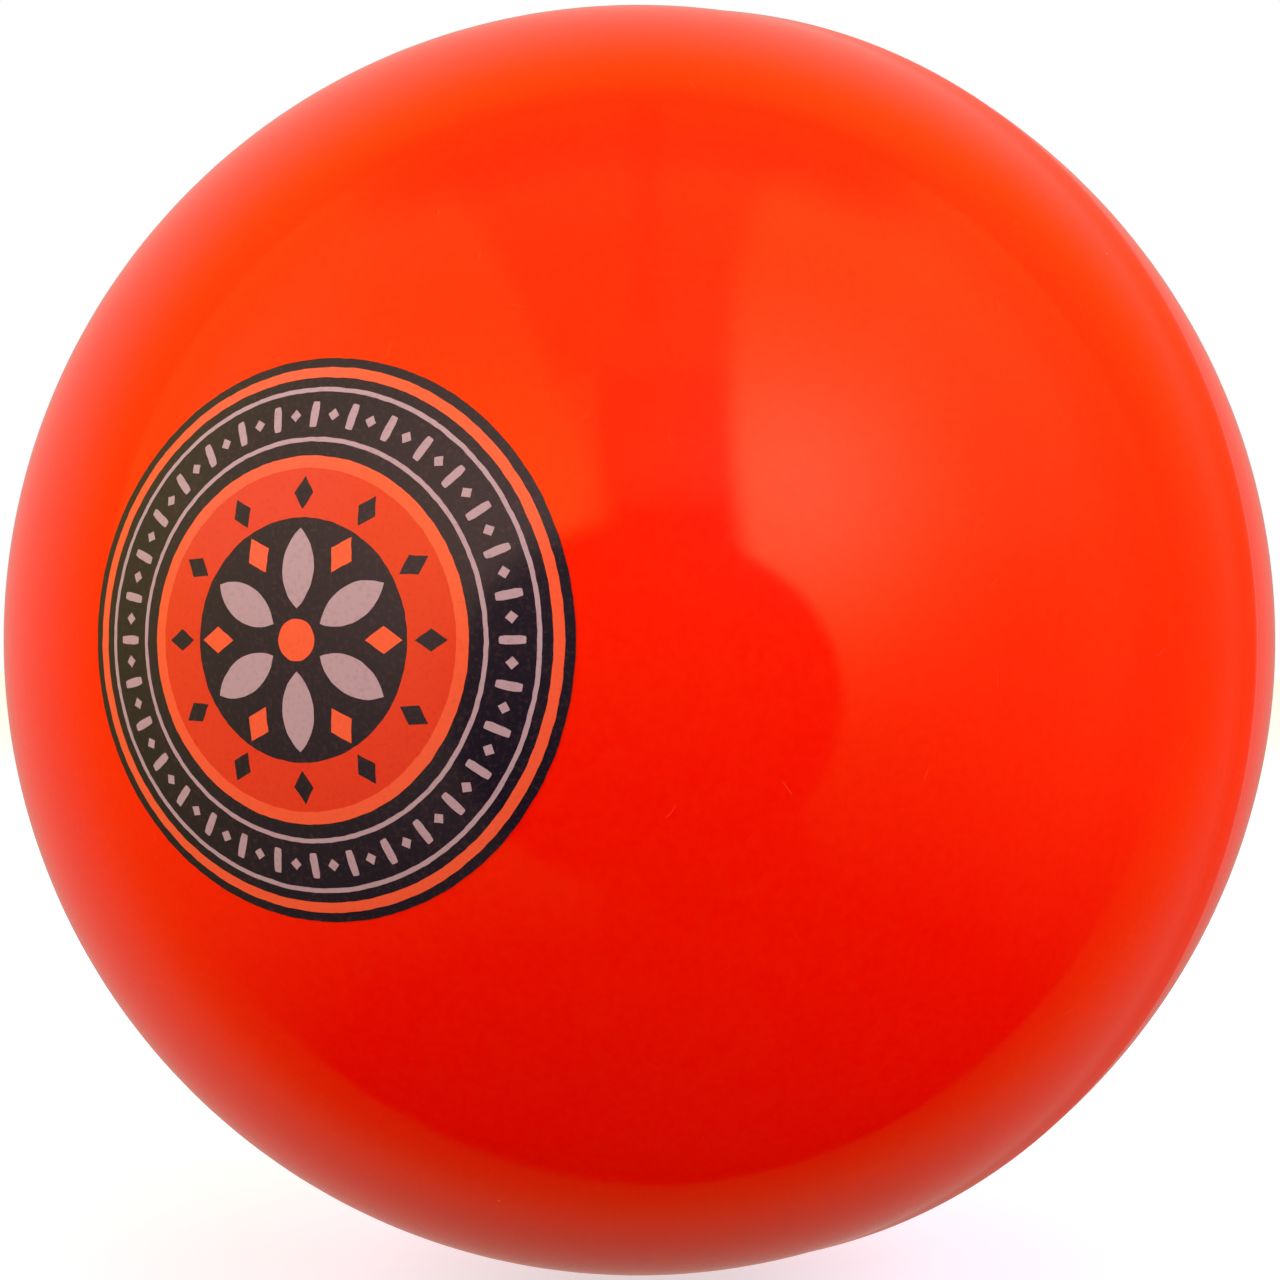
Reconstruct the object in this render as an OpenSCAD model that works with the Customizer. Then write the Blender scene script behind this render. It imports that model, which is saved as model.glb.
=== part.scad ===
// Field hockey ball. One smooth moulded ball with a fine parting line round its
// middle, and a round badge printed on one pole. The mould axis lies along Y: the
// badge faces -Y, and the parting line lies in the XZ plane through the centre.

/* [Ball] */
// Diameter of the ball, from pole to pole
ball_d = 73; // [71.3:0.1:74.8]

/* [Parting line] */
// Width of the straight draft that leads up to the parting line on the badge side
draft_w = 5; // [3:0.1:5]
// Height of the crest above the round of the ball
crest_h = 0.38; // [0.36:0.01:0.6]
// Width of the trimmed land on the crest of the parting line
land_w = 0.2; // [0.1:0.05:0.4]
// Width of the bevel that drops from the crest to the plain half
bevel_w = 1.3; // [0.8:0.1:2.5]

/* [Badge rings] */
// Diameter of the printed badge, measured straight across
badge_d = 27; // [26:0.1:30]
// Thickness of the ink
ink_t = 0.06; // [0.05:0.01:0.12]
// Width of the dark line round the rim
rim_w = 0.45; // [0.3:0.05:0.7]
// Width of the orange ring inside the rim
hoop_w = 0.5; // [0.3:0.05:0.7]
// Dark space between the orange ring and the outer pinstripe
hoop_gap = 0.48; // [0.3:0.02:0.8]
// Width of both pale pinstripes
pin_w = 0.22; // [0.15:0.01:0.35]

/* [Badge marks] */
// Number of pale bars round the dark band
bar_count = 32; // [24:1:40]
// Dark space between a bar's ends and the pinstripes
bar_gap = 0.48; // [0.3:0.02:0.7]
// Width of a bar
bar_w = 0.42; // [0.25:0.01:0.6]
// Width across the corners of the small pale lozenge between two bars
dot_w = 0.6; // [0.4:0.05:0.7]

/* [Badge centre] */
// Diameter of the coloured disc inside the dark band
disc_d = 17.5; // [16:0.1:18]
// Width of the orange edge of that disc
disc_edge_w = 0.6; // [0.4:0.05:0.9]
// Dark space between the disc and the inner pinstripe
disc_gap = 0.68; // [0.4:0.02:0.8]
// Number of dark lozenges on the red ring
lozenge_count = 12; // [6:1:16]
// Red left between a lozenge's tips and the edges of the ring
lozenge_gap = 0.38; // [0.2:0.02:0.6]
// Width of a lozenge
lozenge_w = 1.05; // [0.6:0.05:1.3]
// Diameter of the dark medallion in the middle
medal_d = 11.6; // [11:0.1:12]
// Number of pale petals on the medallion
petal_count = 6; // [5:1:8]
// Width of a petal at its middle
petal_w = 1.75; // [1:0.05:1.9]
// Dark space between a petal's outer tip and the edge of the medallion
petal_gap = 0.5; // [0.3:0.05:0.8]
// Diameter of the orange dot in the middle
hub_d = 2; // [1.2:0.1:2.4]
// Dark space between the dot and a petal's inner tip
hub_gap = 0.5; // [0.3:0.05:0.7]
// Height of the orange darts between the petals
dart_h = 1.9; // [1:0.1:2.2]
// Width of a dart
dart_w = 1.3; // [0.8:0.05:1.5]
// Dark space between a dart's outer tip and the edge of the medallion
dart_gap = 0.22; // [0.15:0.01:0.4]

/* [Hidden] */
$fn = 54;
small_fn = 30;

// Ball and parting line
ball_r = ball_d / 2;
draft_angle = draft_w / ball_r * 180 / PI;
bevel_angle = bevel_w / ball_r * 180 / PI;
crest_r = ball_r + crest_h;
core_r = ball_r / 2;
// The section's feet sit this far under the round, so that the two always cross
bite = 0.002;
foot_r = ball_r - bite;

// Badge, radii from the rim inwards
badge_r = badge_d / 2;
hoop_r = badge_r - rim_w;
hoop_in_r = hoop_r - hoop_w;
outer_pin_r = hoop_in_r - hoop_gap;
disc_r = disc_d / 2;
inner_pin_r = disc_r + disc_gap + pin_w;
red_r = disc_r - disc_edge_w;
medal_r = medal_d / 2;
band_r = outer_pin_r - pin_w;
bar_ring_r = (band_r + inner_pin_r) / 2;
bar_len = band_r - inner_pin_r - 2 * bar_gap;
lozenge_ring_r = (red_r + medal_r) / 2;
lozenge_h = red_r - medal_r - 2 * lozenge_gap;
petal_start_r = hub_d / 2 + hub_gap;
petal_end_r = medal_r - petal_gap;
petal_len = petal_end_r - petal_start_r;
petal_mid_r = (petal_start_r + petal_end_r) / 2;
dart_ring_r = medal_r - dart_gap - dart_h / 2;

// Two equal arcs meet at a petal's tips
petal_arc_r = (petal_len * petal_len / 4 + petal_w * petal_w / 4) / petal_w;

// Point at a radius, at an angle from the parting plane
function polar(radius, angle) = radius * [cos(angle), sin(angle)];

// Half section of the parting line, with the badge's pole at the top. The draft
// leaves the round almost at a tangent and runs straight to the crest. Behind the
// crest a short bevel drops back to the round.
module parting_section() {
    polygon([
        polar(core_r, draft_angle),
        polar(foot_r, draft_angle),
        [crest_r, 0],
        [crest_r, -land_w],
        polar(foot_r, -bevel_angle),
        polar(core_r, -bevel_angle)
    ]);
}

module ring(outer_r, width) {
    difference() {
        circle(r = outer_r);
        circle(r = outer_r - width);
    }
}

module lozenge(height, width) {
    polygon([[0, -height / 2], [width / 2, 0], [0, height / 2], [-width / 2, 0]]);
}

// The children, copied evenly round the badge at a radius
module around(count, radius, start = 0) {
    for (i = [0 : count - 1])
        rotate(start + i * 360 / count) translate([0, radius]) children();
}

module petal() {
    intersection_for (side = [-1, 1])
        translate([side * (petal_arc_r - petal_w / 2), 0])
            circle(r = petal_arc_r, $fn = small_fn);
}

module pale_artwork() {
    ring(outer_pin_r, pin_w);
    ring(inner_pin_r, pin_w);
    around(bar_count, bar_ring_r) square([bar_w, bar_len], center = true);
    around(bar_count, bar_ring_r, 180 / bar_count) lozenge(dot_w, dot_w);
    around(petal_count, petal_mid_r) petal();
}

module orange_artwork() {
    difference() {
        union() {
            ring(hoop_r, hoop_w);
            ring(disc_r, disc_edge_w);
            circle(d = hub_d, $fn = small_fn);
            around(petal_count, dart_ring_r, 180 / petal_count) lozenge(dart_h, dart_w);
        }
        pale_artwork();
    }
}

module red_artwork() {
    difference() {
        ring(red_r, red_r - medal_r);
        around(lozenge_count, lozenge_ring_r) lozenge(lozenge_h, lozenge_w);
    }
}

// A layer of ink on the badge's pole, in the outline of the children. Its inner face
// is the ball's own surface.
module ink() {
    intersection() {
        difference() {
            sphere(r = ball_r + ink_t);
            sphere(r = ball_r);
        }
        rotate([90, 0, 0]) linear_extrude(height = ball_d) children();
    }
}

module ball() {
    color("orangered") {
        sphere(r = ball_r);
        rotate([90, 0, 0]) rotate_extrude() parting_section();
    }
}

module print_dark() {
    color("#332d2c") ink() difference() {
        circle(r = badge_r);
        pale_artwork();
        orange_artwork();
        red_artwork();
    }
}

module print_orange() {
    color("#f26a3c") ink() orange_artwork();
}

module print_red() {
    color("#e0402a") ink() red_artwork();
}

module print_pale() {
    color("#b9a0a2") ink() pale_artwork();
}

ball();
print_dark();
print_orange();
print_red();
print_pale();
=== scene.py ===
import math

import bmesh
import bpy
from mathutils import Euler, Matrix, Vector, noise


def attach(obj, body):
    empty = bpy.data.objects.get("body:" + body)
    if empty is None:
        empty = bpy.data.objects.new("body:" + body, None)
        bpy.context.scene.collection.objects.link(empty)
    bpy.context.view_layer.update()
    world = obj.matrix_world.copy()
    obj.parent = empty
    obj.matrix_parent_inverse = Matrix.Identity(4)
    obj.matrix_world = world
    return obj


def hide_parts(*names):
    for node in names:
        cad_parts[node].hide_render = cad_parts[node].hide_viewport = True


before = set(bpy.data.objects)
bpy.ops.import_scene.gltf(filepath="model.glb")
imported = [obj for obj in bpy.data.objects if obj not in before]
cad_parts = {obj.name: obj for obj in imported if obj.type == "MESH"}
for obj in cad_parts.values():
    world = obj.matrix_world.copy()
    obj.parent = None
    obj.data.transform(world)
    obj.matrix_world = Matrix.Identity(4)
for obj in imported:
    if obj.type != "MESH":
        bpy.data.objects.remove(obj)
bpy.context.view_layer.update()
print("frame loaded")

mm = 0.001
noise.seed_set(5)  # the ink's edge wanders the same way on each run

# where the camera stands, and its right hand, both level with the middle of the ball
cameraSide = Vector((0.4431, -0.8965, 0.0)).normalized()
cameraRight = Vector((0.8965, 0.4431, 0.0)).normalized()


def cameraWay(right, up, near):
    # a direction as the camera sees it
    return cameraRight * right + Vector((0, 0, up)) + cameraSide * near


def fromCamera(turn, lift):
    # a direction, turned to the camera's right and lifted above the horizon, in degrees
    a = math.radians(turn)
    e = math.radians(lift)
    return cameraWay(math.sin(a) * math.cos(e), math.sin(e), math.cos(a) * math.cos(e))


# modelling helpers

def clearSelection():
    if bpy.context.object and bpy.context.object.mode != "OBJECT":
        bpy.ops.object.mode_set(mode="OBJECT")
    bpy.ops.object.select_all(action="DESELECT")


def pickOnly(piece):
    clearSelection()
    piece.select_set(True)
    bpy.context.view_layer.objects.active = piece


def applyPlace(piece):
    pickOnly(piece)
    bpy.ops.object.transform_apply(location=True, rotation=True, scale=True)


def selectVerts(piece, wanted):
    # picks the points of the piece in edit mode that pass the test, and nothing else
    shape = bmesh.from_edit_mesh(piece.data)
    for face in shape.faces:
        face.select = False
    for edge in shape.edges:
        edge.select = False
    for vert in shape.verts:
        vert.select = wanted(vert.co)
    shape.select_flush_mode()
    bmesh.update_edit_mesh(piece.data)


def applyModifiers(piece):
    pickOnly(piece)
    for name in [m.name for m in piece.modifiers]:
        bpy.ops.object.modifier_apply(modifier=name)


def joinPieces(parts, name):
    clearSelection()
    for part in parts:
        part.select_set(True)
    bpy.context.view_layer.objects.active = parts[0]
    bpy.ops.object.join()
    whole = bpy.context.object
    whole.name = name
    whole.data.name = name
    return whole


def copyRound(part, count, start=0.0):
    # turns one mark into a whole round of them, each with its own mesh
    row = []
    for i in range(count):
        turned = part.copy()
        turned.data = part.data.copy()
        bpy.context.collection.objects.link(turned)
        turned.data.transform(Matrix.Rotation(math.radians(start + i * 360 / count), 4, "Y"))
        row.append(turned)
    bpy.data.objects.remove(part)
    return row


# ball

ballSkinSize = {
    "radius": 36.5 * mm,
    "segments": 256,
    "rings": 90,
    "crest": 0.18 * mm,  # height of the parting line above the round
    "land": 0.2 * mm,  # its trimmed edge
    "step": 0.03 * mm,  # drop from the edge to the plain half
    "stepEnd": 0.36 * mm,
    # distance before the parting line, and how far the skin leans out of the round there, in degrees
    "lean": [(3.4, 0.0), (2.6, 2.0), (1.9, 4.6), (1.4, 6.0), (0.8, 6.2), (0.0, 5.6)],
    # the round is a little hollow on both sides of the parting line
    "hollow": 0.07 * mm,
    "hollowStart": -17.0 * mm,
    "plainHollow": 0.06 * mm,
    "plainHollowAt": 9.0 * mm,
    "plainHollowEnd": 21.0 * mm,
    "plainFrom": 2.0 * mm,  # past here the plain half is drawn in a little along the axis
    "plainPole": 36.48 * mm,
    # the parting line runs a little askew to the badge: turn about X, then about Z
    "askew": (math.radians(1.89), 0.0, math.radians(-1.29)),
    # extra rings near the parting line, in mm along the axis
    "cuts": [-4.1, -3.6, -3.35, -3.1, -2.85, -2.3, -2.1, -1.9, -1.7, -1.48, -1.08, -0.9, -0.72,
             -0.54, -0.36, -0.2, -0.1, 0.1, 0.2, 0.28, 0.36, 0.5, 0.7, 0.95, 1.6, 1.95, 3.1],
}


def leanAt(back):
    # how far the skin leans out, in degrees, at a distance in mm before the parting line
    steps = ballSkinSize["lean"]
    for (farther, less), (nearer, more) in zip(steps, steps[1:]):
        if nearer <= back <= farther:
            return less + (more - less) * (farther - back) / (farther - nearer)
    return 0.0


def draftHeight(back):
    # adds up the lean from where the draft starts
    height = 0.0
    step = 0.02
    here = ballSkinSize["lean"][0][0]
    while here > back:
        height += math.tan(math.radians(leanAt(here - step / 2))) * step
        here -= step
    return height


draftFull = draftHeight(0.0)


def easeBetween(low, high, value):
    share = min(max((value - low) / (high - low), 0.0), 1.0)
    return share * share * (3 - 2 * share)


def skinRise(y):
    # height of the skin above the true round at a place along the mould axis
    size = ballSkinSize
    crest = size["crest"]
    hollow = size["hollow"]
    draftStart = -size["lean"][0][0] * mm
    if y <= 0:
        sunk = hollow * easeBetween(size["hollowStart"], draftStart, y)
        return (crest + hollow) * draftHeight(-y / mm) / draftFull - sunk
    if y <= size["land"]:
        return crest
    if y <= size["plainHollowAt"]:
        edge = crest - size["step"] * easeBetween(size["land"], size["stepEnd"], y)
        fall = easeBetween(-size["plainHollowAt"], size["plainHollowAt"], y) * 2 - 1
        return edge - (edge + size["plainHollow"]) * fall
    return -size["plainHollow"] * (1 - easeBetween(size["plainHollowAt"], size["plainHollowEnd"], y))


def makeBallSkin():
    size = ballSkinSize
    radius = size["radius"]
    clearSelection()
    bpy.ops.mesh.primitive_uv_sphere_add(
        segments=size["segments"], ring_count=size["rings"], radius=radius,
        rotation=(math.pi / 2, 0, 0))
    ball = bpy.context.object
    ball.name = "ballSkin"
    ball.data.name = "ballSkin"
    applyPlace(ball)
    bpy.ops.object.mode_set(mode="EDIT")
    # rings are cut in close together where the parting line is
    for y in size["cuts"]:
        bpy.ops.mesh.select_all(action="SELECT")
        bpy.ops.mesh.bisect(plane_co=(0, y * mm, 0), plane_no=(0, 1, 0))
    # each ring near it is then drawn out or in to its own radius
    shape = bmesh.from_edit_mesh(ball.data)
    first, last = size["hollowStart"], size["plainHollowEnd"]
    places = sorted({round(v.co.y, 7) for v in shape.verts if first < v.co.y < last})
    onRing = 0.0002 * mm
    for y in places:
        selectVerts(ball, lambda co: abs(co.y - y) < onRing)
        shape = bmesh.from_edit_mesh(ball.data)
        ring = [v for v in shape.verts if v.select]
        now = math.hypot(ring[0].co.x, ring[0].co.z)
        wanted = math.sqrt(radius ** 2 - y ** 2) + skinRise(y)
        bpy.ops.transform.resize(value=(wanted / now, 1, wanted / now), center_override=(0, y, 0))
    # the plain half keeps inside the CAD ball's own reach
    selectVerts(ball, lambda co: co.y > size["plainFrom"])
    bpy.ops.transform.resize(value=(1, size["plainPole"] / radius, 1), center_override=(0, 0, 0))
    bpy.ops.mesh.select_all(action="SELECT")
    bpy.ops.mesh.normals_make_consistent(inside=False)
    bpy.ops.object.mode_set(mode="OBJECT")
    ball.rotation_euler = size["askew"]
    applyPlace(ball)
    bpy.ops.object.shade_smooth()
    return ball


ballSkin = makeBallSkin()
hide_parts("ball")
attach(ballSkin, "root")
print("ball skin:", len(ballSkin.data.polygons), "faces")


# badge, radii straight across the pole from the CAD badge

badgeSize = {
    "segments": 360,
    "rim": 13.5 * mm,
    "hoop": (13.05 * mm, 12.55 * mm),
    "outerPin": (12.07 * mm, 11.85 * mm),
    "innerPin": (9.65 * mm, 9.43 * mm),
    "discEdge": (8.75 * mm, 8.15 * mm),
    "redRing": (8.19 * mm, 5.8 * mm),
    "barRing": 10.75 * mm,
    "barCount": 32,
    "barWidth": 0.42 * mm,
    "barHeight": 1.24 * mm,
    "barCorner": (0.82, 1, 0.95),  # the corners print a little round
    "dotWidth": 0.6 * mm,
    "lozengeRing": 6.975 * mm,
    "lozengeCount": 12,
    "lozengeHeight": 1.59 * mm,
    "lozengeWidth": 1.05 * mm,
    "petalCount": 6,
    "petalRing": 3.4 * mm,
    "petalHeight": 3.8 * mm,
    "petalWidth": 1.75 * mm,
    "dartRing": 4.63 * mm,
    "dartHeight": 1.9 * mm,
    "dartWidth": 1.3 * mm,
    "hub": 1.0 * mm,
    "pinhole": 0.25 * mm,  # where the rings of a disc close to one point
    "near": 0.001 * mm,  # points this close count as being at a place
    # how far the ink's edge wanders, then scale and share of the slow and the fine part
    "creep": 0.035 * mm,
    "creepSlow": (900, 0.45),
    "creepFine": (2600, 0.8),
}

# how high each ink's outer and inner face lie above the round, in the order of printing
inkLift = {
    "dark": (0.038 * mm, -0.012 * mm),
    "red": (0.046 * mm, 0.034 * mm),
    "orange": (0.049 * mm, 0.034 * mm),
    "pale": (0.051 * mm, 0.034 * mm),
    "darkOver": (0.056 * mm, 0.042 * mm),
}


def flatRing(outer, inner, steps=1):
    # a ring drawn flat in front of the pole, from a circle extruded inwards
    clearSelection()
    bpy.ops.mesh.primitive_circle_add(
        vertices=badgeSize["segments"], radius=outer, fill_type="NOTHING",
        rotation=(math.pi / 2, 0, 0))
    ring = bpy.context.object
    applyPlace(ring)
    bpy.ops.object.mode_set(mode="EDIT")
    bpy.ops.mesh.select_all(action="SELECT")
    width = (outer - inner) / steps
    for i in range(steps):
        now = outer - i * width
        share = (now - width) / now
        bpy.ops.mesh.extrude_edges_move()
        bpy.ops.transform.resize(value=(share, 1, share), center_override=(0, 0, 0))
    bpy.ops.object.mode_set(mode="OBJECT")
    return ring


def flatDisc(radius, steps):
    # the same, closed in the middle
    pinhole = badgeSize["pinhole"]
    disc = flatRing(radius, pinhole, steps)
    bpy.ops.object.mode_set(mode="EDIT")
    selectVerts(disc, lambda co: math.hypot(co.x, co.z) < pinhole * 1.2)
    bpy.ops.mesh.extrude_edges_move()
    bpy.ops.mesh.merge(type="CENTER")
    bpy.ops.object.mode_set(mode="OBJECT")
    return disc


def flatBar(width, height, place):
    clearSelection()
    bpy.ops.mesh.primitive_plane_add(size=1, rotation=(math.pi / 2, 0, 0), location=(0, 0, place))
    bar = bpy.context.object
    bar.scale = (width, height, 1)
    applyPlace(bar)
    bpy.ops.object.mode_set(mode="EDIT")
    bpy.ops.mesh.select_all(action="SELECT")
    bpy.ops.mesh.subdivide(number_cuts=3)
    near = badgeSize["near"]
    selectVerts(bar, lambda co: (
        abs(abs(co.x) - width / 2) < near and abs(abs(co.z - place) - height / 2) < near))
    bpy.ops.transform.resize(value=badgeSize["barCorner"], center_override=(0, 0, place))
    bpy.ops.object.mode_set(mode="OBJECT")
    return bar


def flatLozenge(width, height, place):
    clearSelection()
    bpy.ops.mesh.primitive_circle_add(
        vertices=4, radius=0.5, fill_type="NGON", rotation=(math.pi / 2, 0, 0),
        location=(0, 0, place))
    lozenge = bpy.context.object
    lozenge.scale = (width, height, 1)
    applyPlace(lozenge)
    bpy.ops.object.mode_set(mode="EDIT")
    bpy.ops.mesh.select_all(action="SELECT")
    bpy.ops.mesh.subdivide(number_cuts=5)
    bpy.ops.object.mode_set(mode="OBJECT")
    return lozenge


def flatPetal(width, height, place):
    # rows of a grid, each drawn in to where two arcs leave it
    rows = 20
    tip = 0.001  # width kept at the tips until their points are merged
    clearSelection()
    bpy.ops.mesh.primitive_grid_add(
        x_subdivisions=6, y_subdivisions=rows, size=1, rotation=(math.pi / 2, 0, 0),
        location=(0, 0, place))
    petal = bpy.context.object
    petal.scale = (width, height, 1)
    applyPlace(petal)
    arc = (height ** 2 / 4 + width ** 2 / 4) / width
    bpy.ops.object.mode_set(mode="EDIT")
    for i in range(rows + 1):
        z = -height / 2 + height * i / rows
        half = math.sqrt(arc ** 2 - z ** 2) - (arc - width / 2)
        share = max(half / (width / 2), tip)
        selectVerts(petal, lambda co: abs(co.z - place - z) < badgeSize["near"])
        bpy.ops.transform.resize(value=(share, 1, 1), center_override=(0, 0, place + z))
    bpy.ops.mesh.select_all(action="SELECT")
    bpy.ops.mesh.remove_doubles(threshold=0.004 * mm)
    bpy.ops.object.mode_set(mode="OBJECT")
    return petal


def layInk(piece, layer):
    # lets the edges wander, lays the flat shape on the round, and gives it its thickness
    outer, inner = inkLift[layer]
    radius = ballSkinSize["radius"]
    creep = badgeSize["creep"]
    slowScale, slowShare = badgeSize["creepSlow"]
    fineScale, fineShare = badgeSize["creepFine"]
    shape = bmesh.new()
    shape.from_mesh(piece.data)
    bmesh.ops.remove_doubles(shape, verts=shape.verts, dist=0.0004 * mm)
    for vert in shape.verts:
        if vert.is_boundary:
            slow = noise.noise_vector(vert.co * slowScale)
            fine = noise.noise_vector(vert.co * fineScale + Vector((7, 3, 5)))
            vert.co.x += creep * (slowShare * slow.x + fineShare * fine.x)
            vert.co.z += creep * (slowShare * slow.z + fineShare * fine.z)
    for vert in shape.verts:
        across = vert.co.x ** 2 + vert.co.z ** 2
        vert.co.y = -math.sqrt((radius + outer) ** 2 - across)
    shape.normal_update()
    for face in shape.faces:
        if face.normal.dot(face.calc_center_median()) < 0:
            face.normal_flip()
    shape.to_mesh(piece.data)
    shape.free()
    pickOnly(piece)
    body = piece.modifiers.new("film", "SOLIDIFY")
    body.thickness = outer - inner
    body.offset = -1
    applyModifiers(piece)
    bpy.ops.object.shade_smooth_by_angle(angle=math.radians(40))
    return piece


def finishInk(piece, name, node):
    piece.name = name
    piece.data.name = name
    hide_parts(node)
    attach(piece, "root")
    print(name + ":", len(piece.data.polygons), "faces")
    return piece


def makeInkDark():
    size = badgeSize
    field = layInk(flatDisc(size["rim"], 14), "dark")
    mark = flatLozenge(size["lozengeWidth"], size["lozengeHeight"], size["lozengeRing"])
    marks = layInk(joinPieces(copyRound(mark, size["lozengeCount"]), "lozenges"), "darkOver")
    return finishInk(joinPieces([field, marks], "inkDark"), "inkDark", "print_dark")


def makeInkOrange():
    size = badgeSize
    parts = [flatRing(*size["hoop"], 2), flatRing(*size["discEdge"], 2), flatDisc(size["hub"], 3)]
    dart = flatLozenge(size["dartWidth"], size["dartHeight"], size["dartRing"])
    parts += copyRound(dart, size["petalCount"], 180 / size["petalCount"])
    film = layInk(joinPieces(parts, "inkOrange"), "orange")
    return finishInk(film, "inkOrange", "print_orange")


def makeInkRed():
    ring = flatRing(*badgeSize["redRing"], 5)
    return finishInk(layInk(ring, "red"), "inkRed", "print_red")


def makeInkPale():
    size = badgeSize
    parts = [flatRing(*size["outerPin"]), flatRing(*size["innerPin"])]
    bar = flatBar(size["barWidth"], size["barHeight"], size["barRing"])
    parts += copyRound(bar, size["barCount"])
    dot = flatLozenge(size["dotWidth"], size["dotWidth"], size["barRing"])
    parts += copyRound(dot, size["barCount"], 180 / size["barCount"])
    petal = flatPetal(size["petalWidth"], size["petalHeight"], size["petalRing"])
    parts += copyRound(petal, size["petalCount"])
    film = layInk(joinPieces(parts, "inkPale"), "pale")
    return finishInk(film, "inkPale", "print_pale")


inkDark = makeInkDark()
inkRed = makeInkRed()
inkOrange = makeInkOrange()
inkPale = makeInkPale()


# materials

def newMaterial(name):
    material = bpy.data.materials.new(name)
    material.use_nodes = True
    nodes = material.node_tree.nodes
    links = material.node_tree.links
    shader = nodes["Principled BSDF"]
    return material, nodes, links, shader


def addNode(nodes, kind, **values):
    node = nodes.new(kind)
    for name, value in values.items():
        setattr(node, name, value)
    return node


def addNoise(nodes, links, place, scale, detail=2.0, rough=0.5):
    cloud = addNode(nodes, "ShaderNodeTexNoise")
    cloud.inputs["Scale"].default_value = scale
    cloud.inputs["Detail"].default_value = detail
    cloud.inputs["Roughness"].default_value = rough
    links.new(place, cloud.inputs["Vector"])
    return cloud.outputs["Fac"]


def addMath(nodes, links, kind, a, b=None, c=None):
    node = addNode(nodes, "ShaderNodeMath", operation=kind)
    for i, value in enumerate((a, b, c)):
        if value is None:
            continue
        if isinstance(value, (int, float)):
            node.inputs[i].default_value = value
        else:
            links.new(value, node.inputs[i])
    return node.outputs[0]


def addRange(nodes, links, value, low, high, toLow, toHigh, smooth=True):
    node = addNode(nodes, "ShaderNodeMapRange")
    node.interpolation_type = "SMOOTHSTEP" if smooth else "LINEAR"
    links.new(value, node.inputs["Value"])
    node.inputs["From Min"].default_value = low
    node.inputs["From Max"].default_value = high
    node.inputs["To Min"].default_value = toLow
    node.inputs["To Max"].default_value = toHigh
    return node.outputs["Result"]


def addMix(nodes, links, share, first, second):
    node = addNode(nodes, "ShaderNodeMix", data_type="RGBA")
    links.new(share, node.inputs["Factor"])
    for value, name in ((first, "A"), (second, "B")):
        socket = [s for s in node.inputs if s.name == name and s.type == "RGBA"][0]
        if isinstance(value, tuple):
            socket.default_value = (*value, 1)
        else:
            links.new(value, socket)
    return [s for s in node.outputs if s.type == "RGBA"][0]


def addSpread(nodes, links, place, scale, detail, middle, spread, rough=0.5):
    # roughness that varies a little from place to place
    value = addNoise(nodes, links, place, scale, detail, rough)
    return addRange(nodes, links, value, 0.3, 0.7, middle - spread[0], middle + spread[1])


def addBump(nodes, links, height, strength, depth, under=None):
    bump = addNode(nodes, "ShaderNodeBump")
    bump.inputs["Strength"].default_value = strength
    bump.inputs["Distance"].default_value = depth
    links.new(height, bump.inputs["Height"])
    if under is not None:
        links.new(under, bump.inputs["Normal"])
    return bump.outputs["Normal"]


def addSeen(nodes, links):
    # 1 for what the camera sees straight on or through glass
    rays = addNode(nodes, "ShaderNodeLightPath")
    return addMath(
        nodes, links, "MAXIMUM", rays.outputs["Is Camera Ray"], rays.outputs["Is Transmission Ray"])


ballSkinLook = {
    "colour": (0.935, 0.0062, 0.0),
    "deeper": (0.905, 0.0014, 0.0),
    "cloudScale": 45,
    "mottleScale": 2400,
    "mottle": 2.6,  # share of the fine mottle in the cloudy tone
    "speck": (0.95, 0.10, 0.05),
    "speckScale": 230,
    "speckChance": (0.6, 0.62),
    "speckSize": 0.022,
    "hairScale": 150,
    "hairWidth": (0.0008, 0.0022),
    "hairBreakScale": 620,
    "hairBreak": (0.72, 0.77),
    "hairShow": 0.25,
    "roughness": 0.06,
    "roughSpread": (0.02, 0.03),
    "roughScale": 900,
    "sheen": (1.0, 1.0, 0.2),
    "ior": 1.5,
    # bumps: scale of the noise, strength, depth
    "wave": (90, 0.5, 0.02 * mm),
    "grain": (5000, 0.4, 0.0006 * mm),
    # the trimming of the parting line: where it shows, how its ridges are drawn out, strength, depth
    "band": (-4.2 * mm, -3.0 * mm, -0.2 * mm, 0.0),
    "ridges": (20, 1900, 20),
    "trim": (0.6, 0.012 * mm),
}


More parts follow.
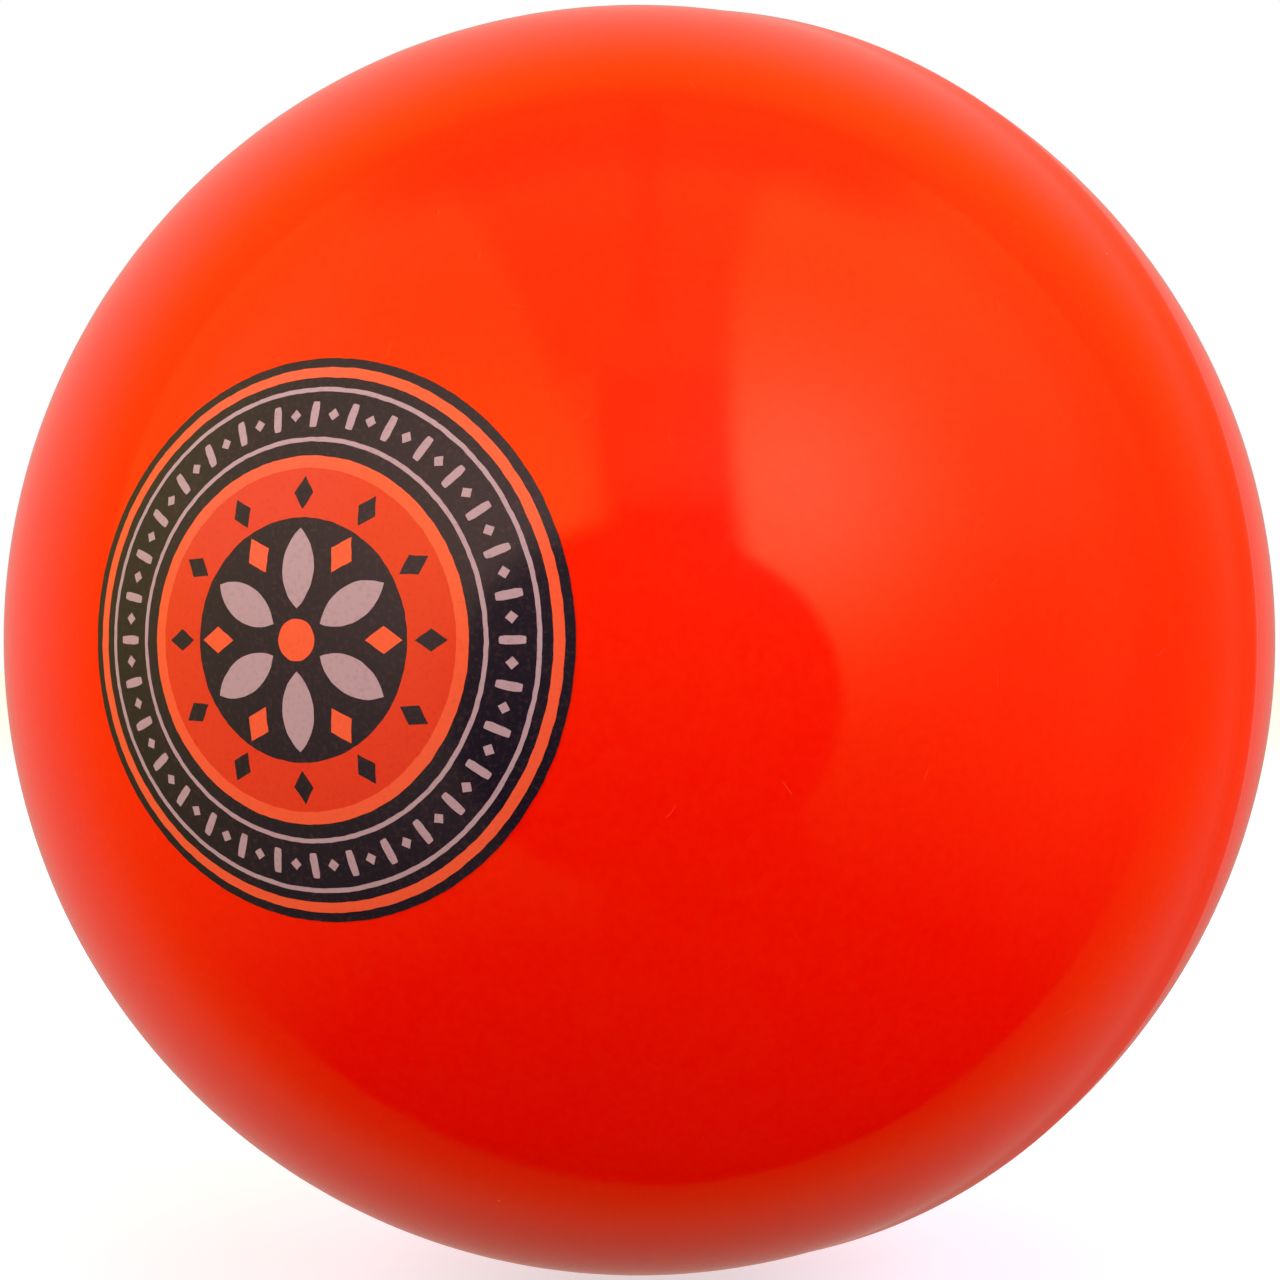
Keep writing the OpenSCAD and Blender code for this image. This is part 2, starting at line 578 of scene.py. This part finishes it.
def ballSkinMaterial():
    look = ballSkinLook
    material, nodes, links, shader = newMaterial("ballSkinGloss")
    place = addNode(nodes, "ShaderNodeTexCoord").outputs["Object"]
    # cloudy tone, with a fine mottle in it
    cloud = addNoise(nodes, links, place, look["cloudScale"], 3.0)
    mottle = addNoise(nodes, links, place, look["mottleScale"], 4.0, 0.75)
    tone = addMath(nodes, links, "SUBTRACT", cloud, look["mottle"] / 2)
    tone = addMath(nodes, links, "MULTIPLY_ADD", mottle, look["mottle"], tone)
    tone = addRange(nodes, links, tone, 0.1, 0.9, 0, 1, smooth=False)
    colour = addMix(nodes, links, tone, look["colour"], look["deeper"])
    # a few specks of dust, far apart
    cells = addNode(nodes, "ShaderNodeTexVoronoi")
    cells.inputs["Scale"].default_value = look["speckScale"]
    links.new(place, cells.inputs["Vector"])
    chance = addNode(nodes, "ShaderNodeSeparateColor")
    links.new(cells.outputs["Color"], chance.inputs[0])
    few = addRange(nodes, links, chance.outputs[0], *look["speckChance"], 0, 1)
    size = addMath(nodes, links, "MULTIPLY", chance.outputs[1], look["speckSize"])
    near = addMath(nodes, links, "LESS_THAN", cells.outputs["Distance"], size)
    speck = addMath(nodes, links, "MULTIPLY", few, near)
    # short hairlines from handling
    line = addNoise(nodes, links, place, look["hairScale"], 0.0)
    line = addMath(nodes, links, "ABSOLUTE", addMath(nodes, links, "SUBTRACT", line, 0.5))
    line = addRange(nodes, links, line, *look["hairWidth"], 1, 0)
    short = addNoise(nodes, links, place, look["hairBreakScale"], 0.0)
    line = addMath(nodes, links, "MULTIPLY", line, addRange(nodes, links, short, *look["hairBreak"], 0, 1))
    line = addMath(nodes, links, "MULTIPLY", line, look["hairShow"])
    mark = addMath(nodes, links, "MAXIMUM", speck, line)
    colour = addMix(nodes, links, mark, colour, look["speck"])
    links.new(colour, shader.inputs["Base Color"])
    shader.inputs["IOR"].default_value = look["ior"]
    shader.inputs["Specular Tint"].default_value = (*look["sheen"], 1)
    rough = addSpread(
        nodes, links, place, look["roughScale"], 4.0, look["roughness"], look["roughSpread"], 0.6)
    links.new(rough, shader.inputs["Roughness"])
    # long soft waves from the mould, then the finest grain
    scale, strength, depth = look["wave"]
    wave = addBump(nodes, links, addNoise(nodes, links, place, scale, 1.0), strength, depth)
    scale, strength, depth = look["grain"]
    grain = addBump(nodes, links, addNoise(nodes, links, place, scale, 2.0), strength, depth, wave)
    # fine ridges round the ball in the trimmed band
    square = addNode(nodes, "ShaderNodeMapping")
    back = Euler(ballSkinSize["askew"]).to_matrix().inverted().to_euler()
    square.inputs["Rotation"].default_value = back
    links.new(place, square.inputs["Vector"])
    axes = addNode(nodes, "ShaderNodeSeparateXYZ")
    links.new(square.outputs[0], axes.inputs[0])
    outer, full, last, end = look["band"]
    starts = addRange(nodes, links, axes.outputs["Y"], outer, full, 0, 1)
    ends = addRange(nodes, links, axes.outputs["Y"], last, end, 1, 0)
    band = addMath(nodes, links, "MULTIPLY", starts, ends)
    drawn = addNode(nodes, "ShaderNodeMapping")
    drawn.inputs["Scale"].default_value = look["ridges"]
    links.new(square.outputs[0], drawn.inputs["Vector"])
    ridge = addMath(nodes, links, "MULTIPLY", addNoise(nodes, links, drawn.outputs[0], 1, 2.0), band)
    links.new(addBump(nodes, links, ridge, *look["trim"], grain), shader.inputs["Normal"])
    return material


inkFilm = {
    "ior": 1.5,
    "wornScale": 4200,
    "wornRange": (0.48, 0.72),
    "roughScale": 1500,
    "roughSpread": (0.03, 0.04),
    "film": (3000, 0.5, 0.0012 * mm),  # bump: scale of the noise, strength, depth
}

inkLook = {
    "inkDarkGloss": {
        # the dark ink's blue is partly its own colour and partly painted reflection: raised to stand in
        # for blue its gloss no longer mirrors
        "colour": (0.0095, 0.0062, 0.0115), "worn": (0.03, 0.013, 0.018), "roughness": 0.13,
        "sheen": (1.0, 0.65, 1.0)},
    "inkOrangeGloss": {
        "colour": (0.87, 0.087, 0.026), "worn": (0.83, 0.075, 0.019), "roughness": 0.17,
        "sheen": (1.0, 0.9, 0.9)},
    "inkRedGloss": {
        "colour": (0.73, 0.03, 0.007), "worn": (0.69, 0.024, 0.005), "roughness": 0.17,
        "sheen": (1.0, 0.8, 0.7)},
    "inkPaleGloss": {
        "colour": (0.46, 0.27, 0.27), "worn": (0.40, 0.23, 0.228), "roughness": 0.2,
        "sheen": (1.0, 0.8, 0.8)},
}


def inkMaterial(name):
    look = inkLook[name]
    material, nodes, links, shader = newMaterial(name)
    place = addNode(nodes, "ShaderNodeTexCoord").outputs["Object"]
    worn = addNoise(nodes, links, place, inkFilm["wornScale"], 3.0, 0.6)
    worn = addRange(nodes, links, worn, *inkFilm["wornRange"], 0, 1)
    colour = addMix(nodes, links, worn, look["colour"], look["worn"])
    links.new(colour, shader.inputs["Base Color"])
    shader.inputs["IOR"].default_value = inkFilm["ior"]
    shader.inputs["Specular Tint"].default_value = (*look["sheen"], 1)
    rough = addSpread(
        nodes, links, place, inkFilm["roughScale"], 3.0, look["roughness"], inkFilm["roughSpread"])
    links.new(rough, shader.inputs["Roughness"])
    scale, strength, depth = inkFilm["film"]
    film = addBump(nodes, links, addNoise(nodes, links, place, scale, 3.0), strength, depth)
    links.new(film, shader.inputs["Normal"])
    return material


def dress(piece, material):
    piece.data.materials.clear()
    piece.data.materials.append(material)


dress(ballSkin, ballSkinMaterial())
dress(inkDark, inkMaterial("inkDarkGloss"))
dress(inkOrange, inkMaterial("inkOrangeGloss"))
dress(inkRed, inkMaterial("inkRedGloss"))
dress(inkPale, inkMaterial("inkPaleGloss"))
print("materials done")


# floor, light and camera

floorSetup = {
    "size": 5.0,
    "height": -36.9 * mm,
    "colour": 0.52,
    "whitening": 0.62,  # added for the camera alone
    "white": (0.96, 0.98, 1.0),
    "bounce": 0.50,  # what the ball gets back from it painted glow: a patch of floor under the ball's far side gives off light of its own for the ball, though it is no lamp
    "glowAt": 12 * mm,  # and a little more from under the ball's far side
    "glow": (8 * mm, 28 * mm, 0.35),  # full to, none from, strength
}


def makeFloor():
    setup = floorSetup
    clearSelection()
    bpy.ops.mesh.primitive_plane_add(size=setup["size"], location=(0, 0, setup["height"]))
    floor = bpy.context.object
    floor.name = "floor"
    applyPlace(floor)
    material = bpy.data.materials.new("floorPale")
    material.use_nodes = True
    nodes = material.node_tree.nodes
    links = material.node_tree.links
    nodes.clear()
    seen = addSeen(nodes, links)
    paint = addNode(nodes, "ShaderNodeBsdfDiffuse")
    # painted glow: around a spot under the ball's far side, the floor gives off light for every ray but
    # the camera's, though it is no lamp
    spot = addNode(nodes, "ShaderNodeVectorMath", operation="DISTANCE")
    links.new(addNode(nodes, "ShaderNodeTexCoord").outputs["Object"], spot.inputs[0])
    spot.inputs[1].default_value = -cameraSide * setup["glowAt"] + Vector((0, 0, setup["height"]))
    glowFull, glowNone, glow = setup["glow"]
    glow = addRange(nodes, links, spot.outputs["Value"], glowFull, glowNone, glow, 0)
    glow = addMath(nodes, links, "MULTIPLY", glow, addMath(nodes, links, "SUBTRACT", 1.0, seen))
    colour = addMix(nodes, links, seen, (setup["bounce"],) * 3, (setup["colour"],) * 3)
    links.new(colour, paint.inputs["Color"])
    white = addNode(nodes, "ShaderNodeEmission")
    white.inputs["Color"].default_value = (*setup["white"], 1)
    glow = addMath(nodes, links, "MULTIPLY_ADD", seen, setup["whitening"], glow)
    links.new(glow, white.inputs["Strength"])
    both = addNode(nodes, "ShaderNodeAddShader")
    links.new(paint.outputs[0], both.inputs[0])
    links.new(white.outputs[0], both.inputs[1])
    out = addNode(nodes, "ShaderNodeOutputMaterial")
    links.new(both.outputs[0], out.inputs["Surface"])
    dress(floor, material)
    # the gloss mirrors the studio's own pale sweep, which stops short in front of the ball
    floor.visible_glossy = False


makeFloor()

studio = {
    # the room in front, below the softboxes: from, to, level. Heights run from -1 below to 1 above
    "low": (-0.6, 0.3, 0.26),
    "ceiling": (0.22, 0.5, 0.62),
    "ceilingTop": (0.69, 0.73, 0.10),  # added above its edge
    # softboxes: the plane of each one's inner edge, level, then the bright middle
    "right": {"edge": (0.977, 0.177, 0.115), "from": 0.436, "level": 1.10, "fade": (-0.67, 0.8),
              "hot": (27, 24), "hotLevel": 1.4, "hotTight": 11, "weaker": (-0.12, 0.2, 0.34)},
    "left": {"edge": (-0.925, -0.372, 0.078), "from": 0.0, "level": 0.95, "fade": (-0.8, 0.3),
             "hot": (-28, 18), "hotLevel": 0.50, "hotTight": 8, "weaker": (-0.05, 0.2, 0.22)},
    "leftEnd": (-0.2, 0.0),
    "soft": 0.045,
    # the dark in front, as two rounds side by side: turn, lift, half width and soft edge in degrees
    "cameraDark": [(-1.5, -11, 30.5, 2.5), (8.0, -10.5, 26.0, 1.5)],
    # the gap between the softboxes: a pale strip low down, a darker wedge above
    "strip": {"from": -0.215, "to": -0.115, "soft": 0.02,
              "low": (0.36, 0.48), "high": (0.68, 0.73), "level": 0.32},
    "wedge": {"from": -0.02, "to": 0.045, "soft": 0.015, "low": (0.78, 0.84), "share": 0.14},
    "sweepFrom": 0.265,
    "sweepSoft": 0.018,
    "sweepLean": 0.175,  # the sweep's edge on the table runs askew, up to a little right of the middle
    "sweepLeanEnd": 0.05,
    "sweepBack": 0.047,
    # how much darker it is overhead, before the sweep begins and past that: from, to, share
    "seam": (-0.42, -0.15, 0.38),
    "seamPast": (0.0, 0.15, 0.28),
    "seamHeight": (0.6, 0.85),
    "seamWidth": (0.4, 0.6),
    "sweep": 0.33,  # pale sweep behind and under the ball
    "sweepRise": 0.20,
    "sweepCorners": 0.13,  # brighter to both sides overhead
    "sweepUnder": 0.06,  # and on the table
    "tableShade": (0.25, 0.56, 0.55),  # the ball's shadow on it: from, to, share
    "tableHeight": (-0.8, -0.15),
    "sweepLeft": 0.06,  # a little brighter on the left
    # the ball's own red light on the sweep straight behind it: from, to, strength
    "sweepRed": (0.62, 0.86, 1.9),
    # warmth of the light by how far behind the ball it comes from
    "warmth": [(-1.0, 0.43), (-0.6, 0.42), (-0.3, 0.35), (0.0, 0.26), (0.13, 0.17), (0.38, 0.11),
               (0.45, 0.19), (0.52, 0.32), (0.58, 0.46), (0.64, 0.58), (0.78, 0.75), (1.0, 0.85)],
    "warmthLean": (-0.07, -0.08),  # cooler to the left, and below
    "hotCool": (1.0, 1.0, 2.1),  # and cooler in the bright middle of the right softbox
}


def makeStudio():
    world = bpy.data.worlds.new("studio")
    bpy.context.scene.world = world
    world.use_nodes = True
    nodes = world.node_tree.nodes
    links = world.node_tree.links
    nodes.clear()
    look = addNode(nodes, "ShaderNodeTexCoord").outputs["Generated"]
    parts = addNode(nodes, "ShaderNodeSeparateXYZ")
    links.new(look, parts.inputs[0])
    height = parts.outputs["Z"]

    def timesAll(*values):
        total = values[0]
        for value in values[1:]:
            total = addMath(nodes, links, "MULTIPLY", total, value)
        return total

    def towards(direction):
        # how far a way of looking agrees with a direction
        dot = addNode(nodes, "ShaderNodeVectorMath", operation="DOT_PRODUCT")
        links.new(look, dot.inputs[0])
        dot.inputs[1].default_value = direction
        return dot.outputs["Value"]

    def between(value, low, high, soft):
        # 1 between two values, with soft edges
        rise = addRange(nodes, links, value, low - soft, low + soft, 0, 1)
        return timesAll(rise, addRange(nodes, links, value, high - soft, high + soft, 1, 0))

    def blend(share, first, second):
        node = addNode(nodes, "ShaderNodeMix", data_type="FLOAT")
        links.new(share, node.inputs[0])
        links.new(first, node.inputs[2])
        links.new(second, node.inputs[3])
        return node.outputs[0]

    def lessBy(total, share):
        return timesAll(total, addMath(nodes, links, "SUBTRACT", 1.0, share))

    side = towards(cameraRight)
    away = towards(-cameraSide)
    low, ceiling, top = [
        addRange(nodes, links, height, start, end, 0, level)
        for start, end, level in (studio["low"], studio["ceiling"], studio["ceilingTop"])]
    total = addMath(nodes, links, "MAXIMUM", addMath(nodes, links, "ADD", ceiling, top), low)
    strip = studio["strip"]
    across = between(side, strip["from"], strip["to"], strip["soft"])
    along = timesAll(
        addRange(nodes, links, height, *strip["low"], 0, strip["level"]),
        addRange(nodes, links, height, *strip["high"], 1, 0))
    total = addMath(nodes, links, "MULTIPLY_ADD", across, along, total)
    wedge = studio["wedge"]
    shade = timesAll(
        between(side, wedge["from"], wedge["to"], wedge["soft"]),
        addRange(nodes, links, height, *wedge["low"], 0, wedge["share"]))
    total = lessBy(total, shade)
    hots = {}
    for name in ("right", "left"):
        box = studio[name]
        fade = addRange(nodes, links, height, *box["fade"], 0, box["level"], smooth=False)
        near = addMath(nodes, links, "MAXIMUM", towards(fromCamera(*box["hot"])), 0.0)
        hot = addMath(nodes, links, "POWER", near, box["hotTight"])
        level = addMath(nodes, links, "MULTIPLY_ADD", hot, box["hotLevel"], fade)
        hots[name] = hot
        edge = towards(cameraWay(*box["edge"]))
        start, soft = box["from"], studio["soft"]
        inside = addRange(nodes, links, edge, start - soft, start + soft, 0, 1)
        if name == "left":
            inside = timesAll(inside, addRange(nodes, links, side, *studio["leftEnd"], 1, 0))
        # weaker towards the back
        backFrom, backTo, drop = box["weaker"]
        level = timesAll(level, addRange(nodes, links, away, backFrom, backTo, 1, 1 - drop))
        total = blend(inside, total, level)
    for turn, lift, half, edge in studio["cameraDark"]:
        wide = math.cos(math.radians(half + edge))
        tight = math.cos(math.radians(half - edge))
        shade = addRange(nodes, links, towards(fromCamera(turn, lift)), wide, tight, 0, 1)
        total = blend(shade, total, low)
    # pale sweep behind the ball and under it
    sweep = addMath(nodes, links, "MULTIPLY_ADD", height, studio["sweepRise"], studio["sweep"])
    sweep = addMath(nodes, links, "MULTIPLY_ADD", side, -studio["sweepLeft"], sweep)
    over = addMath(nodes, links, "MAXIMUM", height, 0.0)
    under = addMath(nodes, links, "MINIMUM", height, 0.0)
    corners = timesAll(over, addMath(nodes, links, "ABSOLUTE", side), studio["sweepCorners"])
    sweep = addMath(nodes, links, "ADD", sweep, corners)
    sweep = addMath(nodes, links, "MULTIPLY_ADD", under, -studio["sweepUnder"], sweep)
    leftwards = addMath(nodes, links, "MINIMUM", side, studio["sweepLeanEnd"])
    askew = timesAll(leftwards, under, studio["sweepLean"])
    line = addMath(nodes, links, "ADD", away, askew)
    line = addMath(nodes, links, "MULTIPLY_ADD", under, studio["sweepBack"], line)
    start, soft = studio["sweepFrom"], studio["sweepSoft"]
    behind = addRange(nodes, links, line, start - soft, start + soft, 0, 1)
    overhead = timesAll(
        addRange(nodes, links, height, *studio["seamHeight"], 0, 1),
        addRange(nodes, links, addMath(nodes, links, "ABSOLUTE", side), *studio["seamWidth"], 1, 0))
    seamFrom, seamTo, seam = studio["seam"]
    seam = addRange(nodes, links, line, start + seamFrom, start + seamTo, 0, seam)
    total = lessBy(total, timesAll(overhead, seam))
    seamFrom, seamTo, seam = studio["seamPast"]
    seam = addRange(nodes, links, line, start + seamFrom, start + seamTo, seam, 0)
    sweep = lessBy(sweep, timesAll(overhead, seam))
    shadeFrom, shadeTo, shade = studio["tableShade"]
    shade = timesAll(
        addRange(nodes, links, height, *studio["tableHeight"], 1, 0),
        addRange(nodes, links, away, shadeFrom, shadeTo, shade, 0))
    sweep = lessBy(sweep, shade)
    total = blend(behind, total, sweep)
    # the camera sees plain white
    seen = addSeen(nodes, links)
    warmth = addNode(nodes, "ShaderNodeValToRGB")
    stops = studio["warmth"]
    while len(warmth.color_ramp.elements) < len(stops):
        warmth.color_ramp.elements.new(0.5)
    for stop, (place, blue) in zip(warmth.color_ramp.elements, stops):
        stop.position = place / 2 + 0.5
        stop.color = (1.0, 0.94 + 0.06 * blue, blue, 1)
    leanSide, leanUp = studio["warmthLean"]
    leant = addMath(nodes, links, "MULTIPLY_ADD", side, leanSide, away)
    leant = addMath(nodes, links, "MULTIPLY_ADD", height, leanUp, leant)
    links.new(addRange(nodes, links, leant, -1, 1, 0, 1, smooth=False), warmth.inputs[0])
    tint = addMix(nodes, links, hots["right"], warmth.outputs[0], studio["hotCool"])
    redFrom, redTo, redness = studio["sweepRed"]
    red = addNode(nodes, "ShaderNodeCombineColor")
    links.new(addRange(nodes, links, away, redFrom, redTo, 1, redness), red.inputs[0])
    red.inputs[1].default_value = 1
    red.inputs[2].default_value = 1
    reddened = addNode(nodes, "ShaderNodeVectorMath", operation="MULTIPLY")
    links.new(tint, reddened.inputs[0])
    links.new(red.outputs[0], reddened.inputs[1])
    back = addNode(nodes, "ShaderNodeBackground")
    colour = addMix(nodes, links, seen, reddened.outputs[0], (1.0, 1.0, 1.0))
    links.new(colour, back.inputs["Color"])
    unseen = addMath(nodes, links, "SUBTRACT", 1.0, seen)
    links.new(addMath(nodes, links, "MULTIPLY_ADD", total, unseen, seen), back.inputs["Strength"])
    out = addNode(nodes, "ShaderNodeOutputWorld")
    links.new(back.outputs[0], out.inputs["Surface"])


makeStudio()

# soft lamps that the gloss doesn't mirror: turn, lift, distance, size, power
lamps = {
    "lampRight": (68, 30, 0.7, 0.5, 2.5),
    "lampLeft": (-74, 27, 0.7, 0.5, 2.2),
    "lampTop": (0, 70, 0.7, 0.6, 0.8),
    "rimRight": (126, 4, 0.7, 0.5, 2.2),
    "rimLeft": (-128, 0, 0.7, 0.5, 1.8),
}
lampColour = (1.0, 1.0, 1.52)  # makes up for the warm sweep


def addLamp(name):
    turn, lift, distance, size, power = lamps[name]
    lamp = bpy.data.lights.new(name, "AREA")
    lamp.shape = "DISK"
    lamp.size = size
    lamp.energy = power
    lamp.color = lampColour
    holder = bpy.data.objects.new(name, lamp)
    bpy.context.collection.objects.link(holder)
    direction = fromCamera(turn, lift)
    holder.location = direction * distance
    holder.rotation_euler = direction.to_track_quat("Z", "Y").to_euler()
    holder.visible_glossy = False


for name in lamps:
    addLamp(name)

cameraSetup = {
    "distance": 4.5 * ballSkinSize["radius"],
    "lens": 78.54,
    "sensor": 36.0,
    "clip": (0.01, 20),
}

camera = bpy.data.cameras.new("camera")
camera.lens = cameraSetup["lens"]
camera.sensor_width = cameraSetup["sensor"]
camera.clip_start, camera.clip_end = cameraSetup["clip"]
cameraHolder = bpy.data.objects.new("camera", camera)
bpy.context.collection.objects.link(cameraHolder)
cameraHolder.location = cameraSide * cameraSetup["distance"]
cameraHolder.rotation_euler = cameraSide.to_track_quat("Z", "Y").to_euler()
bpy.context.scene.camera = cameraHolder
bpy.context.scene.view_settings.view_transform = "Standard"
print("floor, light and camera done")
